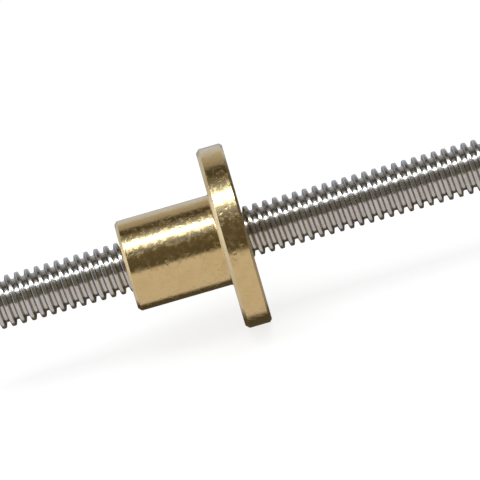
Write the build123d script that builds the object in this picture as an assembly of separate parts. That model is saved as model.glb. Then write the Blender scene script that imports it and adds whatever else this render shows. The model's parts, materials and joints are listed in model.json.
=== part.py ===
from build123d import *
from math import ceil, radians, tan
import os

# A trapezoidal lead screw with its round flanged nut, in millimetres.
# The screw's axis is X, and the origin is on it, halfway along the screw.
# The thread is the metric trapezoidal one, Tr10x2: one start, right-hand.

# The screw
thread_diameter = 10.0  # over the crests
thread_pitch = 2.0  # also the lead, with one start
thread_angle = 30.0  # between the two flanks of a groove, in degrees
root_clearance = 0.25  # the groove is this much deeper than half a pitch
chords = 16  # straight steps in one turn of the thread, which keep the screw light
screw_length = 106.0
end_chamfer = 1.5  # at both ends of the screw, at 45 degrees

# The nut
body_diameter = 18.0
body_length = 19.0  # from the flange to the nut's far end
flange_diameter = 36.0
flange_thickness = 5.3
nut_face_x = 1.4  # the flange's free face, from the screw's middle
running_clearance = 0.05  # between the nut's bore and the thread's crests, on the radius
bore_chamfer = 0.8  # the lead-in at both ends of the bore
body_chamfer = 0.6  # round the body's far end
seat_chamfer = 0.7  # on the flange's edge towards the body
face_chamfer = 0.5  # on the flange's other edge

# The bolt holes in the flange
bolt_hole_diameter = 4.5  # clears an M4 bolt
bolt_hole_count = 4
first_bolt_angle = 45.0  # in degrees, about the axis

# Worked out from the sizes above
crest_radius = thread_diameter / 2
thread_depth = thread_pitch / 2 + root_clearance
root_radius = crest_radius - thread_depth
flank_slope = tan(radians(thread_angle / 2))
crest_width = thread_pitch / 2 * (1 - flank_slope)
flank_width = thread_depth * flank_slope
bore_radius = crest_radius + running_clearance
body_radius = body_diameter / 2
flange_radius = flange_diameter / 2
seat_x = nut_face_x - flange_thickness
tail_x = seat_x - body_length
bolt_circle_radius = (body_radius + flange_radius) / 2


def thread_profile(start):
    """One pitch of the thread as (radius, height) points: a crest, a flank, the root and a flank."""
    return [
        (crest_radius, start),
        (crest_radius, start + crest_width),
        (root_radius, start + crest_width + flank_width),
        (root_radius, start + thread_pitch - flank_width),
        (crest_radius, start + thread_pitch),
    ]


def helix(radius, start):
    """The corners of one turn of a right-hand helix about Z, stepped in straight chords."""
    return [
        Vector(radius, 0, start + thread_pitch * step / chords).rotate(Axis.Z, 360 * step / chords)
        for step in range(chords + 1)
    ]


def ribbon(lower, upper):
    """A strip of faces between two stepped helices, each ruled between two chords."""
    lower_chords = [Edge.make_line(*ends) for ends in zip(lower, lower[1:])]
    upper_chords = [Edge.make_line(*ends) for ends in zip(upper, upper[1:])]
    return [Face.make_surface_from_curves(*pair) for pair in zip(lower_chords, upper_chords)]


def thread_turn(start):
    """The faces of one turn: a ribbon each for the crest, the flanks and the root."""
    helices = [helix(radius, height) for radius, height in thread_profile(start)]
    return [face for pair in zip(helices, helices[1:]) for face in ribbon(*pair)]


def thread_stop(start):
    """The faces that close the thread where a turn begins: a spiral floor and a flat step."""
    axis_points = helix(0, start)
    floor = ribbon(helix(crest_radius, start), axis_points)
    outline = [(radius, 0, height) for radius, height in thread_profile(start)]
    step = Face(Wire.make_polygon([*axis_points, *reversed(outline)], close=True))
    return [*floor, step]


def threaded_bar(length):
    """A bar along Z from 0 to at least length, threaded all over, with a spare turn and more at each end."""
    spare_turns = 2
    first = -spare_turns * thread_pitch
    turns = ceil(length / thread_pitch) + 2 * spare_turns
    faces = thread_stop(first) + thread_stop(first + turns * thread_pitch)
    for turn in range(turns):
        faces += thread_turn(first + turn * thread_pitch)
    return Solid(Shell(faces))


def chamfered_blank(length):
    """The space that the finished screw fills: a bar wider than the crests, with chamfered ends."""
    spare = thread_depth / 2
    blank = Cylinder(crest_radius + spare, length, align=(Align.CENTER, Align.CENTER, Align.MIN))
    ends = blank.edges().filter_by(GeomType.CIRCLE)
    return chamfer(ends, end_chamfer + spare)


def lead_screw():
    """The screw: a bar with the thread cut along its whole length."""
    screw = threaded_bar(screw_length) & chamfered_blank(screw_length)
    return Pos(X=-screw_length / 2) * Rot(Y=90) * screw


def flange_nut():
    """The nut: a turned body with a flange at its right end and a ring of bolt holes."""
    mouth_radius = bore_radius + bore_chamfer
    outline = Polyline(
        (nut_face_x - bore_chamfer, bore_radius),
        (tail_x + bore_chamfer, bore_radius),
        (tail_x, mouth_radius),
        (tail_x, body_radius - body_chamfer),
        (tail_x + body_chamfer, body_radius),
        (seat_x, body_radius),
        (seat_x, flange_radius - seat_chamfer),
        (seat_x + seat_chamfer, flange_radius),
        (nut_face_x - face_chamfer, flange_radius),
        (nut_face_x, flange_radius - face_chamfer),
        (nut_face_x, mouth_radius),
        close=True,
    )
    turned = revolve(make_face(outline), Axis.X)
    ring = Plane.YZ.offset(nut_face_x) * PolarLocations(
        bolt_circle_radius, bolt_hole_count, start_angle=first_bolt_angle
    )
    hole = Cylinder(bolt_hole_diameter / 2, 2 * flange_thickness)
    return turned - ring * hole


os.makedirs("parts", exist_ok=True)
export_step(lead_screw(), "parts/lead_screw.step")
export_step(flange_nut(), "parts/flange_nut.step")
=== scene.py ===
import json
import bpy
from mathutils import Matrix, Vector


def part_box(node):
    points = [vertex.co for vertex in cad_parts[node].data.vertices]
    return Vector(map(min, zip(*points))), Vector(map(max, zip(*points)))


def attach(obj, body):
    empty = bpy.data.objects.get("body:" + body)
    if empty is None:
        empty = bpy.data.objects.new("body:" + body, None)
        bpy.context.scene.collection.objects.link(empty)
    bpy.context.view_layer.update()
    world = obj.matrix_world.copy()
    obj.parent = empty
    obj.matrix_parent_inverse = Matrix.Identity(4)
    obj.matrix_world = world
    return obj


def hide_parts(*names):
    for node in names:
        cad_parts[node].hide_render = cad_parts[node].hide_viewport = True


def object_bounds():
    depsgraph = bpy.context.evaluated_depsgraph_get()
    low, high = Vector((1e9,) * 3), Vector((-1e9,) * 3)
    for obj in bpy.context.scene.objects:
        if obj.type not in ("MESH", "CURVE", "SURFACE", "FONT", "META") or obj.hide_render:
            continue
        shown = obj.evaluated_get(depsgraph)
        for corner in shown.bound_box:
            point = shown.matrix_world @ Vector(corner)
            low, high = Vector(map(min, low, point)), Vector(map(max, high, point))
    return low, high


bl_info = {
    "name": "Trapezoidal lead screw",
    "version": (1, 0, 0),
    "blender": (4, 5, 0),
    "location": "View3D > Sidebar > Lead screw",
    "description": "Makes a trapezoidal lead screw and its flanged nut around their packed solids",
    "category": "Add Mesh",
}

from math import atan, cos, hypot, pi, radians, sin, tan

import bmesh
import bpy
from bpy.props import FloatProperty, FloatVectorProperty, IntProperty, PointerProperty
from mathutils import Matrix, Vector

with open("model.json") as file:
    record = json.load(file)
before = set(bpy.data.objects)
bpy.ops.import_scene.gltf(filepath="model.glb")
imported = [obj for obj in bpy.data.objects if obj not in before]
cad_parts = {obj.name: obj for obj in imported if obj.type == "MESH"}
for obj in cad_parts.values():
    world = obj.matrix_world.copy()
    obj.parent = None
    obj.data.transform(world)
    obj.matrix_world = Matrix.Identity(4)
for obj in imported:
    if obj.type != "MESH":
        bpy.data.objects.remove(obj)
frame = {"record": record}
CAD_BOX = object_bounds()

MM = 0.001
SCREW_LOW, SCREW_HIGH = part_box("lead_screw")
NUT_LOW, NUT_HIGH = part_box("flange_nut")
MOUNTS = {mount["name"]: mount for mount in frame["record"]["mounts"]}
FIRST_BOLT = 45  # the first bolt hole's place about the axis, in degrees from +Y
OVERRUN = 0.3 * MM  # how far a cutter reaches past the face that it cuts


def mount_size(mount, key):
    """A stated size of one of the record's mounts, in metres."""
    return MOUNTS[mount]["dims"][key] * MM


# Sizes and colours

def length(name, description, default):
    """A length in metres."""
    return FloatProperty(name=name, description=description, default=default, unit="LENGTH", precision=5)


def angle_in_degrees(name, description, default):
    """An angle, which Blender keeps in radians."""
    return FloatProperty(name=name, description=description, default=radians(default), subtype="ANGLE")


def whole_number(name, description, default, least):
    """A number of things, no fewer than least."""
    return IntProperty(name=name, description=description, default=default, min=least)


def colour(name, description, default):
    """A colour with parts from 0 to 1."""
    return FloatVectorProperty(
        name=name, description=description, default=default, subtype="COLOR", min=0, max=1
    )


class ThreadSizes(bpy.types.PropertyGroup):
    """The trapezoidal thread that the screw and the nut share.

    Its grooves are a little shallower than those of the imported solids.
    """

    diameter: length("Diameter", "Over the screw's crests", 2 * SCREW_HIGH.z)
    pitch: length("Pitch", "From one crest to the next, which is also the travel in one turn", 2 * MM)
    angle: angle_in_degrees("Angle", "Between a groove's two flanks", 30)
    clearance: length("Root clearance", "How much deeper a groove is than half a pitch", 0.08 * MM)
    play: length("Play", "Between the nut's flanks and the screw's, along the axis", 0.03 * MM)


class ScrewSizes(bpy.types.PropertyGroup):
    """The screw itself."""

    chamfer: length("End chamfer", "At both ends, at 45 degrees", 1.5 * MM)
    rounding: length("Edge rounding", "On the thread's crests and in its roots", 0.22 * MM)
    turn_steps: whole_number("Steps in a turn", "How finely its thread is divided", 72, 12)
    steel: colour("Steel", "The colour of the bright steel", (0.68, 0.66, 0.62))


class NutSizes(bpy.types.PropertyGroup):
    """The flanged nut."""

    body: length("Body diameter", "The round body that goes through a bracket",
                 2 * mount_size("nut_spigot", "r_mm"))
    flange: length("Flange diameter", "Over the flange's rim", 2 * NUT_HIGH.z)
    thickness: length("Flange thickness", "From the seat to the free face", 5.3 * MM)
    bolt_circle: length("Bolt circle", "Through the bolt holes' centres",
                        mount_size("flange_bolts", "pcd_mm"))
    bolt_hole: length("Bolt hole", "A bolt hole's diameter", 2 * mount_size("flange_bolts", "hole_r_mm"))
    bolt_holes: whole_number("Bolt holes", "How many the flange has",
                             MOUNTS["flange_bolts"]["dims"]["count"], 1)
    bore_chamfer: length("Bore chamfer", "The lead-in at both ends of the bore", 0.8 * MM)
    body_chamfer: length("Body chamfer", "Round the body's far end", 0.6 * MM)
    seat_chamfer: length("Seat chamfer", "On the flange's edge towards the body", 0.7 * MM)
    face_chamfer: length("Face chamfer", "On the flange's other edge", 0.5 * MM)
    hole_chamfer: length("Hole chamfer", "At both ends of a bolt hole", 0.25 * MM)
    corner: length("Corner radius", "Where the body meets the flange", 0.4 * MM)
    rounding: length("Edge rounding", "On every turned edge", 0.08 * MM)
    thread_rounding: length("Thread rounding", "On the edges of its thread", 0.1 * MM)
    round_steps: whole_number("Steps round", "How finely its outside is divided", 192, 24)
    turn_steps: whole_number("Steps in a turn", "How finely its thread is divided", 96, 12)
    hole_steps: whole_number("Steps round a hole", "How finely a bolt hole is divided", 64, 12)
    brass: colour("Brass", "The colour of the turned brass", (0.78, 0.60, 0.30))


class StageSizes(bpy.types.PropertyGroup):
    """The camera's place and the studio."""

    elevation: angle_in_degrees("Elevation", "The camera's height above the horizon", 20)
    roll: angle_in_degrees("Roll", "How far the screw rises to the right in the picture", 16.1)
    distance: length("Distance", "From the camera to the screw", 1.5)
    width: length("Width", "What the picture's width takes in at the screw", 92.9 * MM)
    drop: length("Drop", "How far the picture's middle is below the screw's middle", 1.16 * MM)
    floor: colour("Floor", "The floor's colour", (0.9, 0.9, 0.9))


# Outlines

def rounded(corners, steps=3):
    """An outline with an arc in each corner but the first and the last.

    A corner is (x, y, radius), and a radius of 0 leaves it sharp.
    """
    points = []
    for index, (x, y, radius) in enumerate(corners):
        here = Vector((x, y))
        if radius == 0 or index in (0, len(corners) - 1):
            points.append(here)
            continue
        before = (Vector(corners[index - 1][:2]) - here).normalized()
        after = (Vector(corners[index + 1][:2]) - here).normalized()
        half = before.angle(after) / 2
        middle = here + (before + after).normalized() * (radius / sin(half))
        first = here + before * (radius / tan(half)) - middle
        last = here + after * (radius / tan(half)) - middle
        for step in range(steps + 1):
            points.append(middle + first.slerp(last, step / steps) * radius)
    return points


def thread_outline(pitch, crest, root, flank_slope, play, rounding):
    """One pitch of a thread as (distance along the axis, radius) points.

    It goes from the middle of a root to the next, so the crest's middle is at half a pitch. play narrows a
    tooth on both sides, or widens it if it is negative.
    """
    mean_depth = pitch / 4
    depth = crest - root
    crest_half = pitch / 4 - mean_depth * flank_slope - play
    root_start = crest_half + depth * flank_slope
    middle = pitch / 2
    return rounded([
        (0, root, 0),
        (middle - root_start, root, rounding),
        (middle - crest_half, crest, rounding),
        (middle + crest_half, crest, rounding),
        (middle + root_start, root, rounding),
        (pitch, root, 0),
    ])


# Meshes

def helical_bar(outline, pitch, crest_middle, low, high, turn_steps):
    """A right-hand thread along X as an open grid that reaches past low and high.

    Straight below the axis a crest's middle stands at crest_middle, and at every pitch from there.
    """
    columns = len(outline) - 1
    spare_turns = 2
    start = crest_middle - pitch / 2
    start += pitch * (int((low - start) / pitch) - spare_turns)
    turns = int((high - start) / pitch) + spare_turns
    rings = turns * turn_steps
    mesh = bmesh.new()
    grid = []
    for ring in range(rings + 1):
        turn = 2 * pi * ring / turn_steps
        across, down = sin(turn), -cos(turn)
        base = start + pitch * ring / turn_steps
        grid.append([mesh.verts.new((base + x, r * across, r * down)) for x, r in outline[:columns]])
    for ring in range(rings - turn_steps):
        for column in range(columns):
            if column + 1 < columns:
                quad = (grid[ring][column], grid[ring][column + 1],
                        grid[ring + 1][column + 1], grid[ring + 1][column])
            else:
                quad = (grid[ring][column], grid[ring + turn_steps][0],
                        grid[ring + turn_steps + 1][0], grid[ring + 1][column])
            mesh.faces.new(quad)
    loose = [vert for vert in mesh.verts if not vert.link_faces]
    bmesh.ops.delete(mesh, geom=loose, context="VERTS")
    return mesh


def slice_at(mesh, x, drop=0):
    """Cuts new edges where the mesh crosses the plane at x.

    drop of 1 takes away what is beyond the plane, and -1 what is before it. Without it, only faces near the
    plane are looked at, which saves time.
    """
    near = 3 * MM
    geometry = [face for face in mesh.faces if abs(face.verts[0].co.x - x) < near or drop]
    edges = {edge for face in geometry for edge in face.edges}
    verts = {vert for face in geometry for vert in face.verts}
    bmesh.ops.bisect_plane(mesh, geom=[*verts, *edges, *geometry], dist=1e-9, plane_co=(x, 0, 0),
                           plane_no=(1, 0, 0), clear_outer=drop == 1, clear_inner=drop == -1)


def cut_to_length(mesh, low, high, limit, reach, pick, slices=12):
    """Trims a threaded bar at low and high, and fits it to a cone within reach of each end.

    There pick (min or max) chooses between a point's own distance from the axis and limit(x), the cone's.
    """
    for step in range(slices + 1):
        slice_at(mesh, low + reach * step / slices)
        slice_at(mesh, high - reach * step / slices)
    slice_at(mesh, low, drop=-1)
    slice_at(mesh, high, drop=1)
    for vert in mesh.verts:
        x, y, z = vert.co
        if low + reach < x < high - reach:
            continue
        radius = hypot(y, z)
        scale = pick(radius, limit(x)) / radius
        vert.co = (x, y * scale, z * scale)
    rims = [edge for edge in mesh.edges if edge.is_boundary]
    bmesh.ops.edgeloop_fill(mesh, edges=rims)
    bmesh.ops.recalc_face_normals(mesh, faces=mesh.faces)


def turned(outline, steps, centre=(0, 0)):
    """A solid turned about the line along X through centre, which is (y, z).

    The outline's (x, radius) points start and end on that line.
    """
    mesh = bmesh.new()
    verts = [mesh.verts.new((x, centre[0], centre[1] + radius)) for x, radius in outline]
    edges = [mesh.edges.new(pair) for pair in zip(verts, verts[1:])]
    bmesh.ops.spin(mesh, geom=verts + edges, cent=(0, *centre), axis=(1, 0, 0), angle=2 * pi, steps=steps)
    bmesh.ops.remove_doubles(mesh, verts=mesh.verts, dist=1e-7)
    bmesh.ops.recalc_face_normals(mesh, faces=mesh.faces)
    return mesh


def new_piece(name, mesh):
    """A Blender object of a bmesh, linked to the scene."""
    data = bpy.data.meshes.new(name)
    mesh.to_mesh(data)
    mesh.free()
    piece = bpy.data.objects.new(name, data)
    bpy.context.scene.collection.objects.link(piece)
    return piece


def apply_modifiers(piece):
    """Turns a piece's modifiers into its mesh."""
    graph = bpy.context.evaluated_depsgraph_get()
    data = bpy.data.meshes.new_from_object(piece.evaluated_get(graph))
    piece.modifiers.clear()
    piece.data = data


def smooth(piece, sharp_angle):
    """Shades a piece smooth, with crisp edges over sharp_angle and flat faces kept flat."""
    piece.data.polygons.foreach_set("use_smooth", [True] * len(piece.data.polygons))
    piece.data.set_sharp_from_angle(angle=sharp_angle)
    weighted = piece.modifiers.new("Weighted normals", "WEIGHTED_NORMAL")
    weighted.keep_sharp = True
    weighted.mode = "FACE_AREA"
    apply_modifiers(piece)


def thread_sizes():
    """The thread's radii and slope, and where its crests stand, worked out from the sizes."""
    thread = bpy.context.scene.lead_screw_thread
    crest = thread.diameter / 2
    root = crest - thread.pitch / 2 - thread.clearance
    slope = tan(thread.angle / 2)
    crest_width = thread.pitch / 2 * (1 - slope)
    return thread, crest, root, slope, SCREW_LOW.x + crest_width / 2


def make_screw():
    """The threaded steel bar."""
    thread, crest, root, slope, crest_middle = thread_sizes()
    sizes = bpy.context.scene.lead_screw_screw
    outline = thread_outline(thread.pitch, crest, root, slope, 0, sizes.rounding)
    low, high = SCREW_LOW.x, SCREW_HIGH.x
    mesh = helical_bar(outline, thread.pitch, crest_middle, low, high, sizes.turn_steps)

    def chamfer(x):
        return crest - sizes.chamfer + min(x - low, high - x)

    cut_to_length(mesh, low, high, chamfer, sizes.chamfer, min)
    screw = new_piece("screw_thread", mesh)
    smooth(screw, sharp_angle=radians(40))
    return screw


def make_tap():
    """What is cut out of the nut: its thread, with a widening mouth at each end."""
    thread, crest, root, slope, crest_middle = thread_sizes()
    nut = bpy.context.scene.lead_screw_nut
    groove = crest + thread.clearance
    ridge = root + thread.clearance
    widening = thread.clearance * slope + thread.play
    outline = thread_outline(thread.pitch, groove, ridge, slope, -widening, nut.thread_rounding)
    low, high = NUT_LOW.x - OVERRUN, NUT_HIGH.x + OVERRUN
    mesh = helical_bar(outline, thread.pitch, crest_middle, low, high, nut.turn_steps)
    mouth = crest + nut.bore_chamfer

    def widen(x):
        return mouth + OVERRUN - min(x - low, high - x)

    reach = OVERRUN + mouth - ridge
    cut_to_length(mesh, low, high, widen, reach, max)
    return mesh


def make_nut():
    """The turned brass nut with its bolt holes and its internal thread."""
    nut = bpy.context.scene.lead_screw_nut
    tail, face = NUT_LOW.x, NUT_HIGH.x
    seat = face - nut.thickness
    body, rim = nut.body / 2, nut.flange / 2
    edge = nut.rounding
    blank = turned(rounded([
        (tail, 0, 0),
        (tail, body - nut.body_chamfer, edge),
        (tail + nut.body_chamfer, body, edge),
        (seat, body, nut.corner),
        (seat, rim - nut.seat_chamfer, edge),
        (seat + nut.seat_chamfer, rim, edge),
        (face - nut.face_chamfer, rim, edge),
        (face, rim - nut.face_chamfer, edge),
        (face, 0, 0),
    ]), nut.round_steps)
    cutter = make_tap()
    hole = nut.bolt_hole / 2
    wide = hole + nut.hole_chamfer + OVERRUN
    for index in range(nut.bolt_holes):
        angle = radians(FIRST_BOLT + 360 * index / nut.bolt_holes)
        centre = (nut.bolt_circle / 2 * cos(angle), nut.bolt_circle / 2 * sin(angle))
        drill = turned(rounded([
            (seat - OVERRUN, 0, 0),
            (seat - OVERRUN, wide, 0),
            (seat + nut.hole_chamfer, hole, edge),
            (face - nut.hole_chamfer, hole, edge),
            (face + OVERRUN, wide, 0),
            (face + OVERRUN, 0, 0),
        ]), nut.hole_steps, centre)
        part = bpy.data.meshes.new("drill")
        drill.to_mesh(part)
        drill.free()
        cutter.from_mesh(part)
        bpy.data.meshes.remove(part)
    piece = new_piece("nut_turned", blank)
    tool = new_piece("nut_tools", cutter)
    cut = piece.modifiers.new("Bore and holes", "BOOLEAN")
    cut.operation = "DIFFERENCE"
    cut.solver = "EXACT"
    cut.object = tool
    apply_modifiers(piece)
    bpy.data.objects.remove(tool)
    smooth(piece, sharp_angle=radians(35))
    return piece


# Materials

class Nodes:
    """A node tree with short calls to add and link its nodes."""

    def __init__(self, tree):
        self.tree = tree
        tree.nodes.clear()

    def add(self, kind, inputs=(), **settings):
        node = self.tree.nodes.new(kind)
        for key, value in settings.items():
            setattr(node, key, value)
        for key, value in dict(inputs).items():
            if isinstance(value, bpy.types.NodeSocket):
                self.tree.links.new(value, node.inputs[key])
            else:
                node.inputs[key].default_value = value
        return node

    def math(self, operation, *values):
        return self.add("ShaderNodeMath", enumerate(values), operation=operation).outputs[0]

    def noise(self, vector, scale, detail=2.0, roughness=0.5):
        inputs = {"Vector": vector, "Scale": scale, "Detail": detail, "Roughness": roughness}
        return self.add("ShaderNodeTexNoise", inputs, normalize=True).outputs[0]

    def vector(self, x=0.0, y=0.0, z=0.0):
        return self.add("ShaderNodeCombineXYZ", {0: x, 1: y, 2: z}).outputs[0]

    def range(self, value, low, high, to_low=0.0, to_high=1.0, smooth_step=False):
        inputs = {0: value, 1: low, 2: high, 3: to_low, 4: to_high}
        kind = "SMOOTHSTEP" if smooth_step else "LINEAR"
        return self.add("ShaderNodeMapRange", inputs, interpolation_type=kind).outputs[0]

    def mix(self, factor, first, second):
        node = self.add("ShaderNodeMix", {0: factor, 6: first, 7: second}, data_type="RGBA")
        return node.outputs[2]

    def scaled(self, vector, factor):
        return self.add("ShaderNodeVectorMath", {0: vector, "Scale": factor}, operation="SCALE").outputs[0]

    def parts(self, vector):
        return self.add("ShaderNodeSeparateXYZ", {0: vector}).outputs

    def circle(self, angle, radius):
        """The two places of a point that goes round a circle as the angle grows."""
        return [self.math("MULTIPLY", self.math(part, angle), radius) for part in ("COSINE", "SINE")]

    def normal(self):
        """The way that the surface faces, along the piece's own axes."""
        return self.parts(self.add("ShaderNodeTexCoord").outputs["Normal"])

    def place(self):
        """The point on the piece in millimetres, and how far it is along, from and round the axis."""
        point = self.scaled(self.add("ShaderNodeTexCoord").outputs["Object"], 1 / MM)
        x, y, z = self.parts(point)
        radius = self.math("SQRT", self.math("ADD", self.math("MULTIPLY", y, y), self.math("MULTIPLY", z, z)))
        angle = self.math("ARCTAN2", y, self.math("MULTIPLY", z, -1.0))
        return point, x, radius, angle


def new_material(name):
    material = bpy.data.materials.new(name)
    material.use_nodes = True
    return material, Nodes(material.node_tree)


def toned(colour, red=1.0, green=1.0, blue=1.0):
    """A colour with its parts multiplied, as a socket takes it."""
    return (colour[0] * red, colour[1] * green, colour[2] * blue, 1.0)


def turned_brass():
    """Brass fresh off the lathe: fine marks round the axis, faint blotches and a few small dents."""
    colour = bpy.context.scene.lead_screw_nut.brass
    material, nodes = new_material("turned_brass")
    point, along, radius, angle = nodes.place()

    # The tool's marks are rings: one inside the other on a flat face, and side by side elsewhere
    on_face = nodes.math("GREATER_THAN", nodes.math("ABSOLUTE", nodes.normal()[0]), 0.8)
    across = nodes.math("ADD", nodes.math("MULTIPLY", radius, on_face),
                        nodes.math("MULTIPLY", along, nodes.math("SUBTRACT", 1.0, on_face)))
    marks = nodes.noise(nodes.vector(*nodes.circle(angle, 0.35), across), 5.0, 3.0, 0.65)

    # Blotches change the colour, and the grain and the dents catch the light
    blotches = nodes.noise(point, 0.35, 3.0)
    grain = nodes.noise(point, 1.2, 2.0, 0.5)
    dents = nodes.range(nodes.noise(point, 1.1, 0.0), 0.70, 0.80, 0.0, 1.0, True)
    base = nodes.mix(nodes.range(blotches, 0.42, 0.68), toned(colour), toned(colour, 0.96, 0.93, 0.90))
    height = nodes.math("ADD", nodes.math("MULTIPLY", marks, 0.10), grain)
    height = nodes.math("SUBTRACT", height, nodes.math("MULTIPLY", dents, 1.6))
    bump = nodes.add("ShaderNodeBump", {"Strength": 1.0, "Distance": 0.009 * MM, "Height": height})
    scuffs = nodes.range(grain, 0.40, 0.72, 0.0, 0.22, True)
    rough = nodes.math("ADD", scuffs, nodes.range(marks, 0.3, 0.7, 0.12, 0.18))
    tangent = nodes.add("ShaderNodeTangent", direction_type="RADIAL", axis="X").outputs[0]
    shader = nodes.add("ShaderNodeBsdfPrincipled", {
        "Base Color": base, "Metallic": 1.0, "Roughness": rough, "Anisotropic": 0.5,
        "Anisotropic Rotation": 0.25, "Tangent": tangent, "Normal": bump.outputs[0],
    })
    nodes.add("ShaderNodeOutputMaterial", {0: shader.outputs[0]})
    return material


def bright_steel():
    """Bright rolled steel: fine marks that run with the thread, and painted shade on its flanks and its upper
    side.
    """
    sizes = bpy.context.scene.lead_screw_screw
    thread, crest, root = thread_sizes()[:3]
    material, nodes = new_material("bright_steel")
    point, along, radius, angle = nodes.place()

    # The rolling marks follow the helix, so they depend on where in the thread's section a point is
    phase = nodes.math("SUBTRACT", nodes.math("MULTIPLY", along, 2 * pi / (thread.pitch / MM)), angle)
    section = nodes.vector(*nodes.circle(phase, 0.9), nodes.math("MULTIPLY", along, 0.06))
    marks = nodes.noise(section, 6.0, 4.0, 0.6)
    grain = nodes.noise(point, 4.0, 3.0, 0.6)
    patches = nodes.noise(point, 0.28, 2.0)
    height = nodes.math("ADD", nodes.math("MULTIPLY", marks, 0.6), nodes.math("MULTIPLY", grain, 0.4))
    bump = nodes.add("ShaderNodeBump", {"Strength": 0.3, "Distance": 0.02 * MM, "Height": height})
    scuffs = nodes.range(grain, 0.42, 0.68, 0.0, 0.08, True)
    rough = nodes.math("ADD", scuffs, nodes.range(marks, 0.3, 0.7, 0.10, 0.18))

    # Painted shade darkens the thread's flanks, apart from the chamfered ends, and the whole upper side
    below_crest = nodes.range(radius, crest / MM - 0.18, crest / MM - 0.05, 1.0, 0.0)
    above_root = nodes.range(radius, root / MM + 0.04, root / MM + 0.16)
    end = SCREW_HIGH.x / MM - sizes.chamfer / MM
    on_thread = nodes.math("LESS_THAN", nodes.math("ABSOLUTE", along), end)
    painted_flank_shade = nodes.math("MULTIPLY", nodes.math("MULTIPLY", below_crest, above_root), on_thread)
    # Painted shade: the upper side of the screw is made darker
    painted_top_shade = nodes.range(nodes.normal()[2], 0.78, 0.93, 0.0, 1.0, True)
    worn = nodes.range(nodes.math("ADD", patches, grain), 0.8, 1.25)
    base = nodes.mix(worn, toned(sizes.steel), toned(sizes.steel, 0.86, 0.84, 0.80))
    # Painted shade in the grooves: the flanks take a darker steel colour
    base = nodes.mix(painted_flank_shade, base, toned(sizes.steel, 0.66, 0.65, 0.62))
    shade = nodes.mix(painted_top_shade, (1.0, 1.0, 1.0, 1.0), (0.70, 0.69, 0.66, 1.0))
    base = nodes.add("ShaderNodeVectorMath", {0: base, 1: shade}, operation="MULTIPLY").outputs[0]
    shader = nodes.add("ShaderNodeBsdfPrincipled", {
        "Base Color": base, "Metallic": 0.95, "Roughness": rough, "Normal": bump.outputs[0],
    })
    nodes.add("ShaderNodeOutputMaterial", {0: shader.outputs[0]})
    return material


# The stage

# What the bright metal shows of the studio: (degrees, brightness, tint). The degrees go up from the horizon
# on the camera's side. 90 is straight up, 180 is the horizon behind the screw, and less than 0 is the floor.
FLOOR_TINT = (1.0, 0.94, 0.93)
SOFTBOX_TINT = (0.94, 1.0, 1.12)
BACK_TINT = (0.90, 0.98, 1.20)
DARK_TINT = (1.0, 0.84, 0.56)
STUDIO = [
    (-180, 0.46, BACK_TINT),
    (-167, 0.34, BACK_TINT),
    (-158, 0.08, DARK_TINT),
    (-108, 0.08, DARK_TINT),
    (-98, 0.67, FLOOR_TINT),
    (-3, 0.68, FLOOR_TINT),
    (2, 0.092, DARK_TINT),
    (30, 0.108, DARK_TINT),
    (42, 0.125, DARK_TINT),
    (51, 0.29, SOFTBOX_TINT),
    (60, 0.74, SOFTBOX_TINT),
    (66, 1.5, SOFTBOX_TINT),
    (67.5, 9.0, SOFTBOX_TINT),
    (75, 9.0, SOFTBOX_TINT),
    (77, 1.5, SOFTBOX_TINT),
    (84, 0.56, SOFTBOX_TINT),
    (92, 0.27, SOFTBOX_TINT),
    (100, 0.17, DARK_TINT),
    (106, 0.06, DARK_TINT),
    (119, 0.07, DARK_TINT),
    (124, 0.36, FLOOR_TINT),
    (147, 0.50, FLOOR_TINT),
    (151, 0.66, BACK_TINT),
    (180, 0.70, BACK_TINT),
]

# What it shows beyond the screw's two ends, to the camera's left and right: (low down, higher up).
LEFT_WALLS = (0.66, 0.69, 0.86, 1.0), (0.95, 1.02, 1.30, 1.0)
RIGHT_WALLS = (0.36, 0.35, 0.36, 1.0), (0.12, 0.11, 0.10, 1.0)


def make_world():
    """The studio: white to the camera, and bands of light and dark to the bright metal."""
    world = bpy.data.worlds.new("studio")
    bpy.context.scene.world = world
    world.use_nodes = True
    nodes = Nodes(world.node_tree)
    direction = nodes.add("ShaderNodeTexCoord").outputs["Generated"]
    x, y, z = nodes.parts(direction)
    angle = nodes.math("ARCTAN2", z, nodes.math("MULTIPLY", y, -1.0))
    place = nodes.range(angle, -pi, pi)
    ramp = nodes.add("ShaderNodeValToRGB", {0: place})
    stops = ramp.color_ramp.elements
    brightest = max(level for _, level, _ in STUDIO)
    for index, (degrees, level, tint) in enumerate(STUDIO):
        position = (degrees + 180) / 360
        stop = stops[index] if index in (0, len(STUDIO) - 1) else stops.new(position)
        stop.color = [level * part / brightest for part in tint] + [1.0]
    bands = nodes.scaled(ramp.outputs[0], brightest)

    # Beyond the screw's ends the walls take over from the bands, further out where the left one is high
    left = nodes.math("LESS_THAN", x, 0.0)
    raised = nodes.range(z, -0.4, 0.1)
    edge = nodes.range(nodes.math("MULTIPLY", left, raised), 0.0, 1.0, 0.45, 0.75)
    sideways = nodes.range(nodes.math("ABSOLUTE", x), edge, nodes.math("ADD", edge, 0.2), 0.0, 1.0, True)
    wall = nodes.mix(left, nodes.mix(raised, *RIGHT_WALLS), nodes.mix(raised, *LEFT_WALLS))
    seen = nodes.mix(sideways, bands, wall)
    rays = nodes.add("ShaderNodeLightPath").outputs
    glossy = nodes.add("ShaderNodeBackground", {0: seen, 1: 1.0}).outputs[0]
    plain = nodes.add("ShaderNodeBackground", {0: (1.0, 1.0, 1.0, 1.0), 1: 1.0}).outputs[0]
    mixed = nodes.add("ShaderNodeMixShader", {0: rays["Is Glossy Ray"], 1: plain, 2: glossy}).outputs[0]
    nodes.add("ShaderNodeOutputWorld", {0: mixed})


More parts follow.
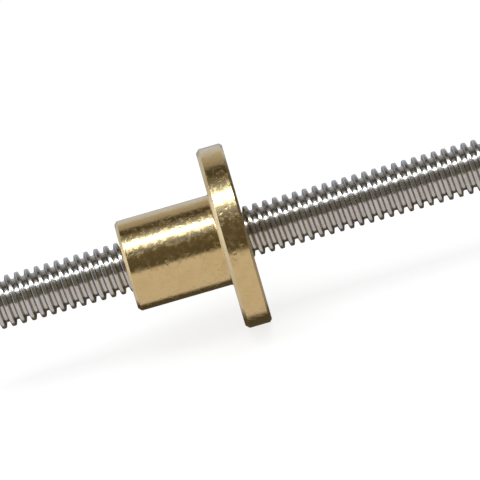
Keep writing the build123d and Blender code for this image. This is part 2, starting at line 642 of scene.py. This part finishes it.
def make_floor():
    """A pale floor that shows little but the shadow."""
    stage = bpy.context.scene.lead_screw_stage
    half_width = 3.0
    white_share = 0.78
    mesh = bmesh.new()
    bmesh.ops.create_grid(mesh, x_segments=1, y_segments=1, size=half_width)
    floor = new_piece("stage_floor", mesh)
    floor.location.z = CAD_BOX[0].z
    material, nodes = new_material("pale_floor")
    tone = (*stage.floor, 1.0)
    lit = nodes.add("ShaderNodeBsdfDiffuse", {0: tone}).outputs[0]
    white = nodes.add("ShaderNodeEmission", {0: (1.0, 1.0, 1.0, 1.0), 1: 1.0}).outputs[0]
    rays = nodes.add("ShaderNodeLightPath").outputs
    share = nodes.math("MULTIPLY", rays["Is Camera Ray"], white_share)
    shown = nodes.add("ShaderNodeMixShader", {0: share, 1: lit, 2: white}).outputs[0]
    clear = nodes.add("ShaderNodeBsdfTransparent").outputs[0]
    below = nodes.add("ShaderNodeNewGeometry").outputs["Backfacing"]
    both = nodes.add("ShaderNodeMixShader", {0: below, 1: shown, 2: clear}).outputs[0]
    nodes.add("ShaderNodeOutputMaterial", {0: both})
    floor.data.materials.append(material)
    floor.visible_glossy = False


def make_lamp():
    """The softbox that casts the floor's soft shadow."""
    lamp = bpy.data.lights.new("softbox", "AREA")
    lamp.shape = "RECTANGLE"
    lamp.size = 0.5
    lamp.size_y = 0.3
    lamp.energy = 1.5
    forward, up = 0.12, 0.5
    holder = bpy.data.objects.new("softbox", lamp)
    holder.location = (0, -forward, up)
    holder.rotation_euler = (-atan(forward / up), 0, 0)
    holder.visible_glossy = False
    bpy.context.scene.collection.objects.link(holder)


def make_camera():
    """The camera: a long lens square to the screw, a little above it, and rolled."""
    stage = bpy.context.scene.lead_screw_stage
    lens = bpy.data.cameras.new("camera")
    camera = bpy.data.objects.new("camera", lens)
    bpy.context.scene.collection.objects.link(camera)
    lens.sensor_width = 36.0
    lens.lens = lens.sensor_width * stage.distance / stage.width
    back = Vector((0, -cos(stage.elevation), sin(stage.elevation)))
    level_up = Vector((0, sin(stage.elevation), cos(stage.elevation)))
    right = Vector((1, 0, 0)) * cos(stage.roll) - level_up * sin(stage.roll)
    up = Vector((1, 0, 0)) * sin(stage.roll) + level_up * cos(stage.roll)
    place = back * stage.distance - up * stage.drop
    camera.matrix_world = Matrix.Translation(place) @ Matrix((right, up, back)).transposed().to_4x4()
    lens.clip_end = 10.0
    bpy.context.scene.camera = camera


# Operators and panel

class LEADSCREW_OT_screw(bpy.types.Operator):
    """Makes the threaded steel screw"""

    bl_idname = "lead_screw.screw"
    bl_label = "Screw"

    def execute(self, context):
        screw = make_screw()
        screw.data.materials.append(bright_steel())
        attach(screw, "screw")
        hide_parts("lead_screw")
        return {"FINISHED"}


class LEADSCREW_OT_nut(bpy.types.Operator):
    """Makes the turned brass nut"""

    bl_idname = "lead_screw.nut"
    bl_label = "Flanged nut"

    def execute(self, context):
        nut = make_nut()
        nut.data.materials.append(turned_brass())
        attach(nut, "nut")
        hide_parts("flange_nut")
        return {"FINISHED"}


class LEADSCREW_OT_stage(bpy.types.Operator):
    """Makes the floor, the studio light and the camera"""

    bl_idname = "lead_screw.stage"
    bl_label = "Stage"

    def execute(self, context):
        make_world()
        make_floor()
        make_lamp()
        make_camera()
        context.scene.view_settings.view_transform = "Standard"
        return {"FINISHED"}


class LEADSCREW_PT_panel(bpy.types.Panel):
    """Lists the pieces and their sizes in the 3D view's sidebar"""

    bl_label = "Lead screw"
    bl_space_type = "VIEW_3D"
    bl_region_type = "UI"
    bl_category = "Lead screw"

    def draw(self, context):
        groups = (
            (context.scene.lead_screw_thread, None),
            (context.scene.lead_screw_screw, LEADSCREW_OT_screw),
            (context.scene.lead_screw_nut, LEADSCREW_OT_nut),
            (context.scene.lead_screw_stage, LEADSCREW_OT_stage),
        )
        for group, operator in groups:
            box = self.layout.box()
            for name in group.__annotations__:
                box.prop(group, name)
            if operator:
                box.operator(operator.bl_idname)


GROUPS = {
    "lead_screw_thread": ThreadSizes,
    "lead_screw_screw": ScrewSizes,
    "lead_screw_nut": NutSizes,
    "lead_screw_stage": StageSizes,
}
CLASSES = (*GROUPS.values(), LEADSCREW_OT_screw, LEADSCREW_OT_nut, LEADSCREW_OT_stage, LEADSCREW_PT_panel)


def register():
    for cls in CLASSES:
        bpy.utils.register_class(cls)
    for name, group in GROUPS.items():
        setattr(bpy.types.Scene, name, PointerProperty(type=group))


def unregister():
    for name in GROUPS:
        delattr(bpy.types.Scene, name)
    for cls in reversed(CLASSES):
        bpy.utils.unregister_class(cls)


def main():
    register()
    bpy.ops.lead_screw.screw()
    bpy.ops.lead_screw.nut()
    bpy.ops.lead_screw.stage()


if __name__ == "__main__":
    main()
